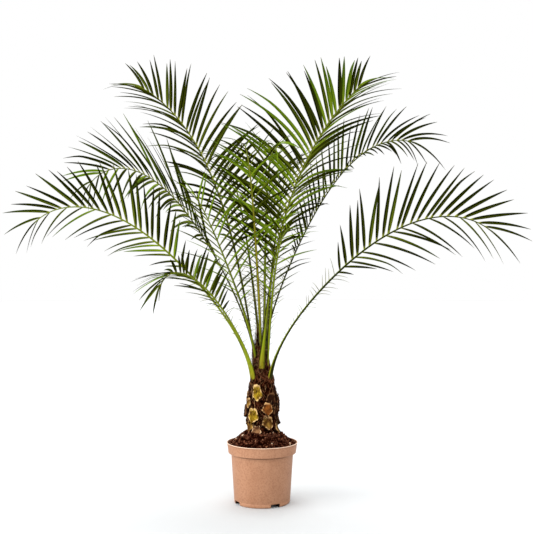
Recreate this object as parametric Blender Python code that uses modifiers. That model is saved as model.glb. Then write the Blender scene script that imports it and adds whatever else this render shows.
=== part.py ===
"""A pygmy date palm in a plastic nursery pot.

Metres, +Z up, with the pot's axis on Z and its underside at z = 0."""

import math
import random
from bisect import bisect_right
from collections import namedtuple

import bmesh
import bpy
from mathutils import Matrix, Vector
from mathutils.bvhtree import BVHTree

NAME = "pygmy_date_palm"
GAP = 0.0003

# Pot
POT_TALL = 0.1603
RIM_RADIUS = 0.0945
COLLAR_TALL = 0.0275
COLLAR_FOOT_RADIUS = 0.0903
BODY_TOP_RADIUS = 0.0827
BODY_FOOT_RADIUS = 0.0742
WALL = 0.0020
FLOOR_THICK = 0.0120
FOOT_ROUND = 0.0040
POT_STEPS = 30
CHANNELS = 4
CHANNEL_BEARING = 28
CHANNEL_WIDE = 0.0255
CHANNEL_TALL = 0.0100
CHANNEL_START = 0.0300
DRAIN_RADIUS = 0.0045
DRAIN_OUT = 0.0480
DRAIN_SIDES = 10

# Soil
SOIL_EDGE_DROP = 0.0050
SOIL_TOP = 0.1880
SOIL_SEAT_RADIUS = 0.0450
MOUND_RINGS = (1.0, 0.9, 0.68, 0.42, 0.18, 0.0)
MOUND_CURVE = 1.25
SOIL_STEPS = 28

# Trunk
TRUNK_FOOT = SOIL_TOP + GAP
TRUNK_TOP = 0.3143
TRUNK_STEPS = 16
CORE_RADII = (0.0350, 0.0385, 0.0395, 0.0385, 0.0345, 0.0290)
STUBS = 25
STUB_TOP = 0.3043
STUB_STEP = 0.0046
STUB_BEARING = 198.5
STUB_WIDE = 0.0300
STUB_TALL = 0.0420
STUB_PROUD = 0.0055
STUB_BURIED = 0.0100
STUB_TILT = 8
STUB_ROOT_SHARE = 0.56
STUB_FACE_SHARE = 0.48
GOLDEN_ANGLE = 137.5

# Fibre sheath that holds the feet of the fronds
SHEATH_FOOT = TRUNK_TOP + GAP
SHEATH_STEPS = 18
SHOULDER_RADIUS = 0.0345
SHOULDER_UP = 0.3373
COLUMN_RADIUS = 0.0222
COLUMN_UP = 0.3758
HEART_RADIUS = 0.0112
HEART_UP = 0.4163
SHOULDER_ROUND = 0.0030
SHOULDER_EDGE = 0.0100
COLUMN_ROUND = 0.0010
COLUMN_EDGE = 0.0120
COLUMN_FOOT = 0.0080

# Fronds: the stem leaves its foot at FOOT_LEAN degrees from upright, leans out to its spread,
# and bends on to its tip's lean. Distances along it run from 0 at the foot to 1 at the tip. Its foot faces
# out from the axis up to FOOT_HOLD, and then turns to the frond's heading within a few times FOOT_TURN.
FOOT_LEAN = 8
FLARE = 5
STEM_STEPS = 70
STEM_PARTS = 14
STEM_SIDES = 5
FOOT_CROWDING = 1.2
RIB_HALF_WIDE = 0.0036
RIB_HALF_DEEP = 0.0030
RIB_THINNING = 0.66
FOOT_FADE = 0.060
FOOT_HOLD = 0.035
FOOT_TURN = 0.050
ROLLED_BY = 0.5

# Leaflets
BLADE_END = 0.985
LEAF_HALF_WIDE = 0.0044
LEAF_HALF_THICK = 0.0014
LEAF_WIDEST = 0.42
ROOT_SHARE_OF_STEM = 0.8
ROOT_SHARE_OF_LEAF = 0.6
ROOT_CLEAR = 0.0030
FIRST_LEAF_SHARE = 0.22
LEAF_RISE = 0.13
LONGEST_AT = 0.35
LEAF_FALL = 1.4
SLANT_CLOSES = 0.50
SLANT_POWER = 2.5
STAGGER = 0.25
PLACE_SPREAD = 0.22
SLANT_SPREAD = 5
VEE_SPREAD = 8
LENGTH_RANGE = (0.92, 1.06)
CLEARANCE = 0.0006
SHORTER = (1.0, 0.85, 0.7, 0.55)
SEED = 1

# How far out and how high a stem's foot sits, half its width and depth, and its share without leaflets
Ring = namedtuple("Ring", "out up half_wide half_deep bare")
LOW = Ring(0.0275, 0.3293, 0.0078, 0.0048, 0.43)
FRONT = Ring(0.0190, 0.3583, 0.0100, 0.0044, 0.36)
OUTER = Ring(0.0175, 0.3623, 0.0045, 0.0036, 0.36)
INNER = Ring(0.0065, 0.4023, 0.0038, 0.0031, 0.34)

# bearing of the foot and heading of the frond in degrees round the axis from +X, spread and tip in degrees
# from upright, roll, vee and slant of the leaflets in degrees, and the stem, the longest leaflet and the
# last in metres. Droop is how far a leaflet's tip sinks, as a share of its length.
Frond = namedtuple(
    "Frond", "name ring bearing heading turn long spread tip bend roll vee slant leaf last droop row",
)
FRONDS = (
    Frond("left_long", LOW, 183, 194, 0, 0.794, 47.2, 141, 4.8, -55, 14, 53, 0.160, 0.096, 0.10, 20),
    Frond("left_low", LOW, 216, 210, 36, 0.480, 38.5, 147, 4.0, -20, 22, 52, 0.125, 0.080, 0.25, 13),
    Frond("left_arch", OUTER, 148, 152, 0, 0.885, 37.2, 143, 4.5, -42, 10, 51, 0.244, 0.083, 0.20, 20),
    Frond("left_tall", OUTER, 180, 157, 0, 0.879, 12.3, 62, 2.7, 44, 43, 59, 0.196, 0.107, 0.37, 20),
    Frond("left_front", OUTER, 213, 232, 0, 0.515, 32.0, 47, 7.0, -15, 25, 52, 0.150, 0.090, 0.25, 15),
    Frond("centre_left", INNER, 235, 264, 0, 0.637, 31.0, 88, 6.0, -10, 25, 48, 0.155, 0.090, 0.25, 16),
    Frond("right_main", FRONT, 262, 313, 0, 0.815, 4.2, 61, 1.6, 10, 34, 57, 0.250, 0.094, 0.46, 22),
    Frond("right_back", INNER, 38, 27, 0, 0.822, 30.3, 101, 4.0, 44, 36, 49, 0.146, 0.140, 0.29, 19),
    Frond("right_long", LOW, 318, 348, 0, 0.779, 48.6, 132, 4.2, 62, 19, 52, 0.186, 0.118, 0.10, 20),
    Frond("centre_front", INNER, 315, 277, 0, 0.660, 4.0, 130, 4.0, 0, 25, 48, 0.155, 0.080, 0.30, 16),
    Frond("centre_right", OUTER, 322, 284, 0, 0.460, 20.0, 100, 4.0, 15, 25, 48, 0.115, 0.070, 0.25, 13),
    Frond("back", OUTER, 105, 112, 0, 0.760, 22.0, 90, 4.0, 0, 25, 48, 0.170, 0.100, 0.30, 17),
    Frond("back_right", OUTER, 62, 76, 0, 0.760, 24.0, 95, 4.0, 10, 25, 48, 0.160, 0.100, 0.30, 17),
)

Station = namedtuple("Station", "point along up across")
# The steps along a stem at which its solid has a ring, closer together near the foot
MARKS = [round(STEM_STEPS * (mark / STEM_PARTS) ** FOOT_CROWDING) for mark in range(STEM_PARTS + 1)]


def clear_scene():
    for obj in list(bpy.data.objects):
        bpy.data.objects.remove(obj)


def new_collection(name):
    collection = bpy.data.collections.new(name)
    bpy.context.scene.collection.children.link(collection)
    return collection


def new_material(name, colour, roughness):
    material = bpy.data.materials.new(name)
    material.use_nodes = True
    shader = material.node_tree.nodes["Principled BSDF"]
    shader.inputs["Base Color"].default_value = (*colour, 1)
    shader.inputs["Roughness"].default_value = roughness
    shader.inputs["Metallic"].default_value = 0
    return material


def new_object(name, mesh, collection, material=None):
    obj = bpy.data.objects.new(name, mesh)
    collection.objects.link(obj)
    if material:
        mesh.materials.append(material)
    return obj


def as_cutter(obj):
    obj.hide_render = True
    obj.display_type = "WIRE"
    return obj


def radial(bearing, out=1.0, up=0.0):
    """A point at a bearing in degrees round the axis, so far out from it and so high."""
    turned = math.radians(bearing)
    return Vector((out * math.cos(turned), out * math.sin(turned), up))


def turned_shape(name, profile, steps, collection, material):
    """A solid turned round Z from a profile that starts and ends on the axis and runs down outside."""
    mesh = bpy.data.meshes.new(name)
    bm = bmesh.new()
    corners = [bm.verts.new((out, 0, up)) for out, up in profile]
    for first, second in zip(corners, corners[1:]):
        bm.edges.new((first, second))
    bm.to_mesh(mesh)
    bm.free()
    obj = new_object(name, mesh, collection, material)
    screw = obj.modifiers.new("turn", "SCREW")
    screw.axis = "Z"
    screw.steps = steps
    screw.render_steps = steps
    screw.use_merge_vertices = True
    screw.merge_threshold = 0.00001
    return obj


def add_boolean(obj, operation, collection):
    cut = obj.modifiers.new(operation.lower(), "BOOLEAN")
    cut.operation = operation
    cut.operand_type = "COLLECTION"
    cut.collection = collection
    cut.solver = "EXACT"


def apply_modifiers(obj):
    """Keeps the evaluated mesh as the object's own and drops its modifiers."""
    evaluated = obj.evaluated_get(bpy.context.evaluated_depsgraph_get())
    mesh = bpy.data.meshes.new_from_object(evaluated)
    obj.modifiers.clear()
    obj.data = mesh


def remove_collection(collection):
    for obj in list(collection.objects):
        bpy.data.objects.remove(obj)
    bpy.data.collections.remove(collection)


def shade(obj, sharp=35):
    obj.data.shade_smooth()
    obj.data.set_sharp_from_angle(angle=math.radians(sharp))


def make_pot(collection, cutters, material):
    collar_foot = POT_TALL - COLLAR_TALL
    step_up = collar_foot + WALL
    outer = [
        (RIM_RADIUS - WALL, POT_TALL),
        (RIM_RADIUS, POT_TALL - WALL / 2),
        (COLLAR_FOOT_RADIUS, collar_foot),
        (BODY_TOP_RADIUS, collar_foot - WALL / 2),
        (BODY_FOOT_RADIUS, FOOT_ROUND),
        (BODY_FOOT_RADIUS - FOOT_ROUND, 0),
        (0, 0),
    ]
    inner = [
        (0, FLOOR_THICK),
        (BODY_FOOT_RADIUS - WALL, FLOOR_THICK),
        (BODY_TOP_RADIUS - WALL, step_up),
        (COLLAR_FOOT_RADIUS - WALL, step_up + WALL / 2),
        (RIM_RADIUS - 2 * WALL, POT_TALL - WALL),
    ]
    pot = turned_shape("pot", inner + outer, POT_STEPS, collection, material)
    reach = BODY_TOP_RADIUS - CHANNEL_START
    for number in range(CHANNELS):
        bearing = CHANNEL_BEARING + number * 360 / CHANNELS
        bm = bmesh.new()
        bmesh.ops.create_cube(bm, size=1)
        place = Matrix.Rotation(math.radians(bearing), 4, "Z")
        place @= Matrix.Translation((CHANNEL_START + reach / 2, 0, 0))
        place @= Matrix.Diagonal((reach, CHANNEL_WIDE, 2 * CHANNEL_TALL, 1))
        bm.transform(place)
        drain = Matrix.Translation(radial(bearing, DRAIN_OUT, CHANNEL_TALL))
        name = f"channel_{number + 1}"
        mesh = bpy.data.meshes.new(name)
        bm.to_mesh(mesh)
        bm.clear()
        as_cutter(new_object(name, mesh, cutters))
        bmesh.ops.create_cone(
            bm, cap_ends=True, segments=DRAIN_SIDES, radius1=DRAIN_RADIUS, radius2=DRAIN_RADIUS,
            depth=FLOOR_THICK, matrix=drain,
        )
        name = f"drain_{number + 1}"
        mesh = bpy.data.meshes.new(name)
        bm.to_mesh(mesh)
        bm.free()
        as_cutter(new_object(name, mesh, cutters))
    add_boolean(pot, "DIFFERENCE", cutters)
    return pot


def make_soil(collection, material):
    collar_foot = POT_TALL - COLLAR_TALL
    step_up = collar_foot + WALL
    slack = WALL + 2 * GAP
    collar_out = COLLAR_FOOT_RADIUS - slack
    rim_out = RIM_RADIUS - WALL - slack
    edge_up = POT_TALL - SOIL_EDGE_DROP
    share = (edge_up - step_up - WALL / 2) / (POT_TALL - WALL - step_up - WALL / 2)
    edge_out = collar_out + (rim_out - collar_out) * share
    mound = [
        (edge_out + (SOIL_SEAT_RADIUS - edge_out) * way, edge_up + (SOIL_TOP - edge_up) * way ** MOUND_CURVE)
        for way in MOUND_RINGS
    ]
    profile = [(0, SOIL_TOP)] + mound + [
        (collar_out, step_up + WALL / 2 + GAP),
        (BODY_TOP_RADIUS - slack, step_up + GAP),
        (BODY_FOOT_RADIUS - slack, FLOOR_THICK + GAP),
        (0, FLOOR_THICK + GAP),
    ]
    return turned_shape("soil", profile, SOIL_STEPS, collection, material)


def core_radius(up):
    """The trunk's radius between its stubs, at a height."""
    place = (up - TRUNK_FOOT) / (TRUNK_TOP - TRUNK_FOOT) * (len(CORE_RADII) - 1)
    place = min(max(place, 0), len(CORE_RADII) - 1.001)
    below = int(place)
    return CORE_RADII[below] + (CORE_RADII[below + 1] - CORE_RADII[below]) * (place - below)


def make_stub(number, collection):
    """A cut leaf base: a six-sided shield that stands proud of the core, its cut face turned a little up."""
    up = STUB_TOP - number * STUB_STEP
    bearing = STUB_BEARING + number * GOLDEN_ANGLE
    deep = STUB_PROUD + STUB_BURIED
    bm = bmesh.new()
    bmesh.ops.create_cone(
        bm, cap_ends=True, segments=6, radius1=STUB_ROOT_SHARE, radius2=STUB_FACE_SHARE, depth=1,
        matrix=Matrix.Rotation(math.radians(90), 4, "Y") @ Matrix.Rotation(math.radians(30), 4, "Z"),
    )
    place = Matrix.Rotation(math.radians(bearing), 4, "Z")
    place @= Matrix.Translation((core_radius(up) + STUB_PROUD - deep / 2, 0, up))
    place @= Matrix.Rotation(math.radians(-STUB_TILT), 4, "Y")
    place @= Matrix.Diagonal((deep, STUB_WIDE, STUB_TALL, 1))
    bm.transform(place)
    name = f"stub_{number + 1}"
    mesh = bpy.data.meshes.new(name)
    bm.to_mesh(mesh)
    bm.free()
    return new_object(name, mesh, collection)


def make_trunk(collection, material):
    level = (TRUNK_TOP - TRUNK_FOOT) / (len(CORE_RADII) - 1)
    heights = [TRUNK_FOOT + level * number for number in range(len(CORE_RADII))]
    outline = [(core_radius(up), up) for up in reversed(heights)]
    profile = [(0, TRUNK_TOP)] + outline + [(0, TRUNK_FOOT)]
    trunk = turned_shape("trunk", profile, TRUNK_STEPS, collection, material)
    stubs = new_collection("stubs")
    for number in range(STUBS):
        make_stub(number, stubs)
    add_boolean(trunk, "UNION", stubs)
    outside = new_collection("outside_trunk")
    for name, middle in (("ground", TRUNK_FOOT - STUB_TALL), ("crown_room", TRUNK_TOP + STUB_TALL)):
        bm = bmesh.new()
        bmesh.ops.create_cube(bm, size=2 * STUB_TALL, matrix=Matrix.Translation((0, 0, middle)))
        bmesh.ops.scale(bm, vec=(2, 2, 1), verts=bm.verts)
        mesh = bpy.data.meshes.new(name)
        bm.to_mesh(mesh)
        bm.free()
        new_object(name, mesh, outside)
    add_boolean(trunk, "DIFFERENCE", outside)
    apply_modifiers(trunk)
    remove_collection(stubs)
    remove_collection(outside)
    return trunk


def stem_stations(frond):
    """The stem's points and directions, from its foot to its tip."""
    stations = []
    point = radial(frond.bearing, frond.ring.out, frond.ring.up)
    before = None
    for step in range(STEM_STEPS + 1):
        share = step / STEM_STEPS
        flare = (frond.spread - FOOT_LEAN) * (1 - math.exp(-FLARE * share))
        lean = math.radians(FOOT_LEAN + flare + (frond.tip - frond.spread) * share ** frond.bend)
        heading = frond.heading + frond.turn * share ** 2
        along = radial(heading, math.sin(lean), math.cos(lean))
        if before:
            point = point + (along + before) * (frond.long / STEM_STEPS / 2)
        before = along
        upper = radial(heading, -math.cos(lean), math.sin(lean))
        past_foot = max(share * frond.long - FOOT_HOLD, 0)
        facing = (frond.bearing - frond.heading) * math.exp(-past_foot / FOOT_TURN)
        roll = facing - frond.roll * min(share / ROLLED_BY, 1)
        upper = Matrix.Rotation(math.radians(roll), 3, along) @ upper
        stations.append(Station(point.copy(), along, upper, along.cross(upper)))
    return stations


def station_at(stations, share):
    """A place on the straight parts of the stem's solid between its rings."""
    place = min(max(share, 0), 0.9999) * STEM_STEPS
    mark = bisect_right(MARKS, place) - 1
    low, high = MARKS[mark], MARKS[mark + 1]
    part = (place - low) / (high - low)
    mixed = [first.lerp(second, part) for first, second in zip(stations[low], stations[high])]
    return Station(mixed[0], *(direction.normalized() for direction in mixed[1:]))


def stem_halves(frond, share):
    """Half the stem's width and half its depth."""
    thin = 1 - RIB_THINNING * share
    fade = math.exp(-share * frond.long / FOOT_FADE)
    wide = RIB_HALF_WIDE * thin + (frond.ring.half_wide - RIB_HALF_WIDE) * fade
    deep = RIB_HALF_DEEP * thin + (frond.ring.half_deep - RIB_HALF_DEEP) * fade
    return wide, deep


def drawn_out(sides, rings, place):
    """A round primitive drawn out along a line: place gives the centre, and the two half widths
    as vectors, of each ring from 0 at its root to the last at its tip."""
    bm = bmesh.new()
    bmesh.ops.create_uvsphere(bm, u_segments=sides, v_segments=rings, radius=1)
    for vert in bm.verts:
        ring = round((1 - math.acos(max(-1, min(1, vert.co.z))) / math.pi) * rings)
        centre, wide, deep = place(ring)
        flat = Vector((vert.co.x, vert.co.y))
        around = flat.normalized() if flat.length > 0.001 else Vector((0, 0))
        vert.co = centre + wide * around.x + deep * around.y
    return bm


def stem_shape(frond, stations, grow=0.0):
    """The stem from its foot to its tip, or a copy grown all round to cut its socket."""
    def place(ring):
        mark = MARKS[min(max(ring - 1, 0), STEM_PARTS)]
        station = stations[mark]
        wide, deep = stem_halves(frond, mark / STEM_STEPS)
        below = grow if ring <= 1 else 0
        centre = station.point - station.along * below
        return centre, station.across * (wide + grow), station.up * -(deep + grow)

    return drawn_out(STEM_SIDES, STEM_PARTS + 2, place)


def leaf_length(frond, way):
    """A leaflet's length, from the first ones at 0, through the longest, to the last at 1."""
    rise = 1 - (1 - FIRST_LEAF_SHARE) * math.exp(-way / LEAF_RISE)
    fall = max(0, (way - LONGEST_AT) / (1 - LONGEST_AT)) ** LEAF_FALL
    return rise * (frond.leaf + (frond.last - frond.leaf) * fall)


def leaf_slant(frond, way):
    """The angle in degrees between a leaflet and the rib, which closes towards the tip."""
    return frond.slant * (1 - SLANT_CLOSES * way ** SLANT_POWER)


Leaf = namedtuple("Leaf", "share side slant vee length")


def leaf_plan(frond, seed):
    """Where each leaflet starts and how it points, by the rule and a seeded spread."""
    chance = random.Random(seed)
    plan = []
    for side in (-1, 1):
        for number in range(frond.row):
            way = (number + 0.5 + STAGGER * side + chance.uniform(-PLACE_SPREAD, PLACE_SPREAD)) / frond.row
            way = min(max(way, 0), 1)
            plan.append(Leaf(
                frond.ring.bare + (BLADE_END - frond.ring.bare) * way,
                side,
                leaf_slant(frond, way) + chance.uniform(-SLANT_SPREAD, SLANT_SPREAD),
                frond.vee + chance.uniform(-VEE_SPREAD, VEE_SPREAD),
                leaf_length(frond, way) * chance.uniform(*LENGTH_RANGE),
            ))
    plan.append(Leaf(BLADE_END, 0, 0, 0, frond.last))
    return plan


def leaf_shape(frond, stations, leaf, cut=1.0, start=0.0, grow=0.0):
    """A leaflet that leaves the rib at its slant and droops under its weight. A share cut shortens it,
    start leaves out that length of its root, and grow makes it thicker."""
    station = station_at(stations, leaf.share)
    slant = math.radians(leaf.slant)
    vee = math.radians(leaf.vee)
    outward = station.across * (leaf.side * math.cos(vee)) + station.up * math.sin(vee)
    outward = (station.along * math.cos(slant) + outward * math.sin(slant)).normalized()
    sink = Vector((0, 0, -1)) - outward * -outward.z
    flat = station.along if leaf.side else station.across
    wide = (flat - outward * outward.dot(flat)).normalized()
    rib_wide, rib_deep = stem_halves(frond, leaf.share)
    length = leaf.length * cut
    leaves_rib = (rib_wide + ROOT_CLEAR) / length
    half_root = min(rib_deep * ROOT_SHARE_OF_STEM, LEAF_HALF_WIDE * ROOT_SHARE_OF_LEAF)

    def place(ring):
        share = (start / length, max(leaves_rib, start / length + 0.01), LEAF_WIDEST, 1)[ring]
        half = (0, half_root, LEAF_HALF_WIDE, 0)[ring]
        thick = (0, LEAF_HALF_THICK, LEAF_HALF_THICK, 0)[ring]
        centre = station.point + (outward * share + sink * (frond.droop * share ** 2)) * length
        return centre, wide * (half + grow), outward.cross(wide) * (thick + grow)

    return drawn_out(3, 3, place)


def make_frond(number, frond, stations, taken, collection, material):
    """One frond: its stem and the leaflets that stay clear of every other frond, fused into one solid."""
    mesh = bpy.data.meshes.new("stem")
    bm = stem_shape(frond, stations)
    bm.to_mesh(mesh)
    bm.free()
    frond_obj = new_object(f"frond_{frond.name}", mesh, collection, material)
    leaves = new_collection("leaves")
    own = []
    for leaf in leaf_plan(frond, SEED * len(FRONDS) + number):
        for cut in SHORTER:
            fat = leaf_shape(frond, stations, leaf, cut, ROOT_CLEAR, CLEARANCE)
            room = BVHTree.FromBMesh(fat)
            fat.free()
            if any(room.overlap(tree) for tree in taken[number] + own):
                continue
            bm = leaf_shape(frond, stations, leaf, cut)
            mesh = bpy.data.meshes.new("leaf")
            bm.to_mesh(mesh)
            own.append(BVHTree.FromBMesh(bm))
            bm.free()
            new_object("leaf", mesh, leaves)
            break
    for other in range(number + 1, len(FRONDS)):
        taken[other].extend(own)
    add_boolean(frond_obj, "UNION", leaves)
    apply_modifiers(frond_obj)
    remove_collection(leaves)
    return frond_obj


def make_fronds(collection, material):
    stems = [stem_stations(frond) for frond in FRONDS]
    trees = []
    for frond, stations in zip(FRONDS, stems):
        bm = stem_shape(frond, stations)
        trees.append(BVHTree.FromBMesh(bm))
        bm.free()
    taken = [[tree for other, tree in enumerate(trees) if other != number] for number in range(len(FRONDS))]
    for number, frond in enumerate(FRONDS):
        shade(make_frond(number, frond, stems[number], taken, collection, material))


def make_sheath(collection, cutters, material):
    """The fibrous crown of the trunk: a shoulder for the lowest fronds and a column for the rest."""
    profile = [
        (0, HEART_UP),
        (HEART_RADIUS - COLUMN_ROUND, HEART_UP),
        (HEART_RADIUS, COLUMN_UP + COLUMN_ROUND),
        (COLUMN_RADIUS - COLUMN_ROUND, COLUMN_UP),
        (COLUMN_RADIUS, COLUMN_UP - COLUMN_EDGE),
        (COLUMN_RADIUS + COLUMN_ROUND, SHOULDER_UP + COLUMN_FOOT),
        (SHOULDER_RADIUS - SHOULDER_ROUND, SHOULDER_UP),
        (SHOULDER_RADIUS, SHOULDER_UP - SHOULDER_EDGE),
        (SHOULDER_RADIUS - SHOULDER_ROUND, SHEATH_FOOT),
        (0, SHEATH_FOOT),
    ]
    sheath = turned_shape("fibre_sheath", profile, SHEATH_STEPS, collection, material)
    for frond in FRONDS:
        bm = stem_shape(frond, stem_stations(frond), GAP)
        name = f"socket_{frond.name}"
        mesh = bpy.data.meshes.new(name)
        bm.to_mesh(mesh)
        bm.free()
        as_cutter(new_object(name, mesh, cutters))
    add_boolean(sheath, "DIFFERENCE", cutters)
    return sheath


def main():
    clear_scene()
    parts = new_collection(NAME)
    plastic = new_material("pot_plastic", (0.62, 0.33, 0.19), 0.55)
    earth = new_material("soil", (0.05, 0.022, 0.012), 0.95)
    bark = new_material("trunk_bark", (0.20, 0.12, 0.04), 0.85)
    fibre = new_material("sheath_fibre", (0.06, 0.03, 0.015), 0.9)
    leaf = new_material("frond_green", (0.06, 0.13, 0.02), 0.5)
    shade(make_pot(parts, new_collection("pot_cutters"), plastic))
    shade(make_soil(parts, earth))
    shade(make_trunk(parts, bark))
    shade(make_sheath(parts, new_collection("socket_cutters"), fibre))
    make_fronds(parts, leaf)


main()
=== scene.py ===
"""The dressed pygmy date palm: fine fronds, cut leaf bases, fibre, crumbly soil and a moulded pot."""
import random
from collections import namedtuple
from math import cos, exp, pi, radians, sin, sqrt, tan, tau

import bmesh
import bpy
from mathutils import Matrix, Vector, noise
from mathutils.bvhtree import BVHTree


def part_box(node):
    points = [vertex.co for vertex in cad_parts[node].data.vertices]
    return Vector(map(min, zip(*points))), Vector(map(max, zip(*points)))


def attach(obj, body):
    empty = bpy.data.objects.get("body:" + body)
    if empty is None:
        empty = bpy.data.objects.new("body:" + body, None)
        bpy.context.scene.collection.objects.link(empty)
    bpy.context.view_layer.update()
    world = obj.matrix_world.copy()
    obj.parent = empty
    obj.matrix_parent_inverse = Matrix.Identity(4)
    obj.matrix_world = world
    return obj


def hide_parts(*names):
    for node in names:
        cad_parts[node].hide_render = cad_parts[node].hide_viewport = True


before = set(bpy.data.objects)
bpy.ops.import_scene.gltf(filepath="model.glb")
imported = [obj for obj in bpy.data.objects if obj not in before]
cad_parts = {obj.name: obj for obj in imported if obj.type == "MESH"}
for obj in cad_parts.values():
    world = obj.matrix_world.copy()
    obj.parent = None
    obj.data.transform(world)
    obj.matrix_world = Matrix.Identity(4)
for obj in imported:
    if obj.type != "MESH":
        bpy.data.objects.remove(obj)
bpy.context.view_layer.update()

UP = Vector((0, 0, 1))
DOWN = Vector((0, 0, -1))
SHARP = 35

# Camera and light, as in the photograph
CAMERA_AT = (0.0115, -2.4, 0.6263)
CAMERA_LENS = 60.6
FLOOR_RADIUS = 14
FLOOR_GREY = 0.54
FLOOR_CLOUDS = 1.01
FLOOR_TINT = (0.97, 0.99, 1.0)

# Bearing and height in degrees, softness as the light's angle in degrees, and strength
Light = namedtuple("Light", "name bearing up soft strength")
LIGHTS = (
    Light("key", 203, 26, 50, 2.6),
    Light("top", 100, 76, 40, 2.2),
    Light("front", 262, 40, 60, 0.9),
)

# Pot
POT_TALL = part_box("pot")[1].z
RIM_RADIUS = 0.0945
COLLAR_TALL = 0.0275
COLLAR_FOOT = POT_TALL - COLLAR_TALL
COLLAR_FOOT_RADIUS = 0.0903
COLLAR_ROUND = 0.0015
COLLAR_ROUND_UP = 0.0012
BODY_TOP_RADIUS = 0.0827
BODY_FOOT_RADIUS = 0.0742
WALL = 0.0020
FLOOR_THICK = 0.0120
FOOT_ROUND = 0.0040
POT_STEPS = 176
POT_MIDDLE = 0.0040
POT_SHARP = 38
BEAD_UP = 0.0105
BEAD_HALF = 0.0012
BEAD_DEEP = 0.0006
GROOVE_EASE = 0.0001
GROOVE_DEEP = 0.0012
GROOVE_BELOW = (0.0030, 0.0020, 0.0003)
LIP_ROUND = 0.0014
LIP_INSET = 0.0013
LIP_BACK = 0.0002
LIP_STEPS = 12
# Points of the lip's arc, counted from its start, that are painted pale as a highlight
LIP_HIGHLIT = range(4, 9)
UNDER_LIP = (0.0014, 0.0004)
CHANNELS = 4
CHANNEL_BEARING = 28
CHANNEL_WIDE = 0.0255
CHANNEL_TALL = 0.0100
CHANNEL_START = 0.0300
CHANNEL_ROUND = 0.0012

# Soil. A lump and a grain of its top have a height and a size.
SOIL_LOW, SOIL_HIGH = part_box("soil")
SOIL_OUT = SOIL_HIGH.x - 0.0006
SOIL_EDGE_UP = POT_TALL - 0.0050
SOIL_SEAT_RADIUS = 0.0450
SOIL_GAP = WALL + 0.0008
SOIL_SINK = 0.0006
SOIL_STEPS = 180
SOIL_RINGS = 46
SMOOTH_RINGS = 3
MOUND_CURVE = 1.25
LUMP_UP, LUMP_SIZE = 0.0022, 0.014
GRAIN_UP, GRAIN_SIZE = 0.0012, 0.005
CRUMBS = 1500
CHIPS = 150
CRUMBS_FROM = 0.035
CRUMBS_TO = SOIL_OUT - 0.003
CRUMB_SIZES = (0.0009, 0.0030)
CRUMB_STRETCH = (1.0, 1.5)
CHIP_STRETCH = (1.3, 2.2)
CHIP_BIGGER = 1.1
RED_CRUMBS = 0.35
RED_CHIPS = 0.90

# Trunk
TRUNK_FOOT, TRUNK_TOP = (corner.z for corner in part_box("trunk"))
CORE_RADII = (0.0350, 0.0385, 0.0395, 0.0385, 0.0345, 0.0290)
CORE_OUTLINE = [
    (out, TRUNK_FOOT + (TRUNK_TOP - TRUNK_FOOT) * step / 5) for step, out in enumerate(CORE_RADII)
]
CORE_STEPS = 150
CORE_LEVELS = 70
RIDGE_UP = 0.0016
CORE_LUMP_UP, CORE_LUMP_SIZE = 0.0022, 0.020

# Cut leaf bases, each wound a golden angle from the last, with how far the angles and sizes stray
STUBS = 25
STUB_TOP = 0.3043
STUB_STEP = 0.0046
STUB_BEARING = 198.5
STUB_WIDE = 0.0300
STUB_TALL = 0.0420
STUB_PROUD = 0.0055
STUB_TILT = 13
GOLDEN_ANGLE = 137.5
BEARING_STRAY = 4
TILT_STRAY = (-7, 9)
ROLL_STRAY = 14
SIZE_STRAY = (0.93, 1.07)
PROUD_STRAY = 0.0025
CORNERS = 5
FIRST_CORNER = 54
CORNER_STRAY = 15
CORNER_OUT = (0.88, 1.22)
BASE_STEPS = 48
DOME = 0.10

# The rings of a base from its root to the middle of its face: how far forward each is, its share of the
# face's size, and its place for the paint, which is 1 at the rim
BASE_RINGS = (
    (-0.0140, 1.10, 1.6), (-0.0050, 1.05, 1.4), (-0.0012, 1.01, 1.12), (0.0, 0.98, 1.0), (0.0003, 0.93, 0.94),
    (-0.0003, 0.84, 0.82), (-0.0006, 0.55, 0.5), (-0.0005, 0.25, 0.2), (-0.0005, 0.02, 0.0),
)

# Half the width and height of a base as shares of the source's width and height, how far it is lifted, turned
# round the trunk in degrees and set forward. Bases that show plainly in the photograph have their own looks.
Look = namedtuple("Look", "paint wide tall lift turn forward", defaults=(0, 0, 0))
OLIVE, TAN, RUST, PINK, DARK = range(5)
BASE_SIZE = (0.46, 0.45)
# The dark look on the bases at the trunk's sides is painted shade; bases not listed take a look at random
BASE_LOOKS = {
    0: Look(DARK, 0.44, 0.44),
    1: Look(DARK, 0.46, 0.46, 0, 0, 0.001),
    3: Look(OLIVE, 0.50, 0.66, 0.006),
    5: Look(RUST, 0.44, 0.44),
    6: Look(DARK, 0.46, 0.46, 0.002, 4),
    8: Look(TAN, 0.30, 0.36, 0, -4),
    9: Look(DARK, 0.46, 0.46, 0, -6, 0.004),
    11: Look(RUST, 0.52, 0.48, 0.001, 19, 0.001),
    13: Look(DARK, 0.46, 0.46, 0, 0, 0.004),
    14: Look(DARK, 0.46, 0.44, 0, 6),
    16: Look(OLIVE, 0.60, 0.52, 0.006),
    17: Look(DARK, 0.46, 0.46, 0, -8, 0.002),
    19: Look(TAN, 0.50, 0.48),
    21: Look(TAN, 0.52, 0.46, 0, 5),
    22: Look(TAN, 0.36, 0.36, -0.002),
    24: Look(PINK, 0.50, 0.46, 0.002, -9),
}

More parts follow.
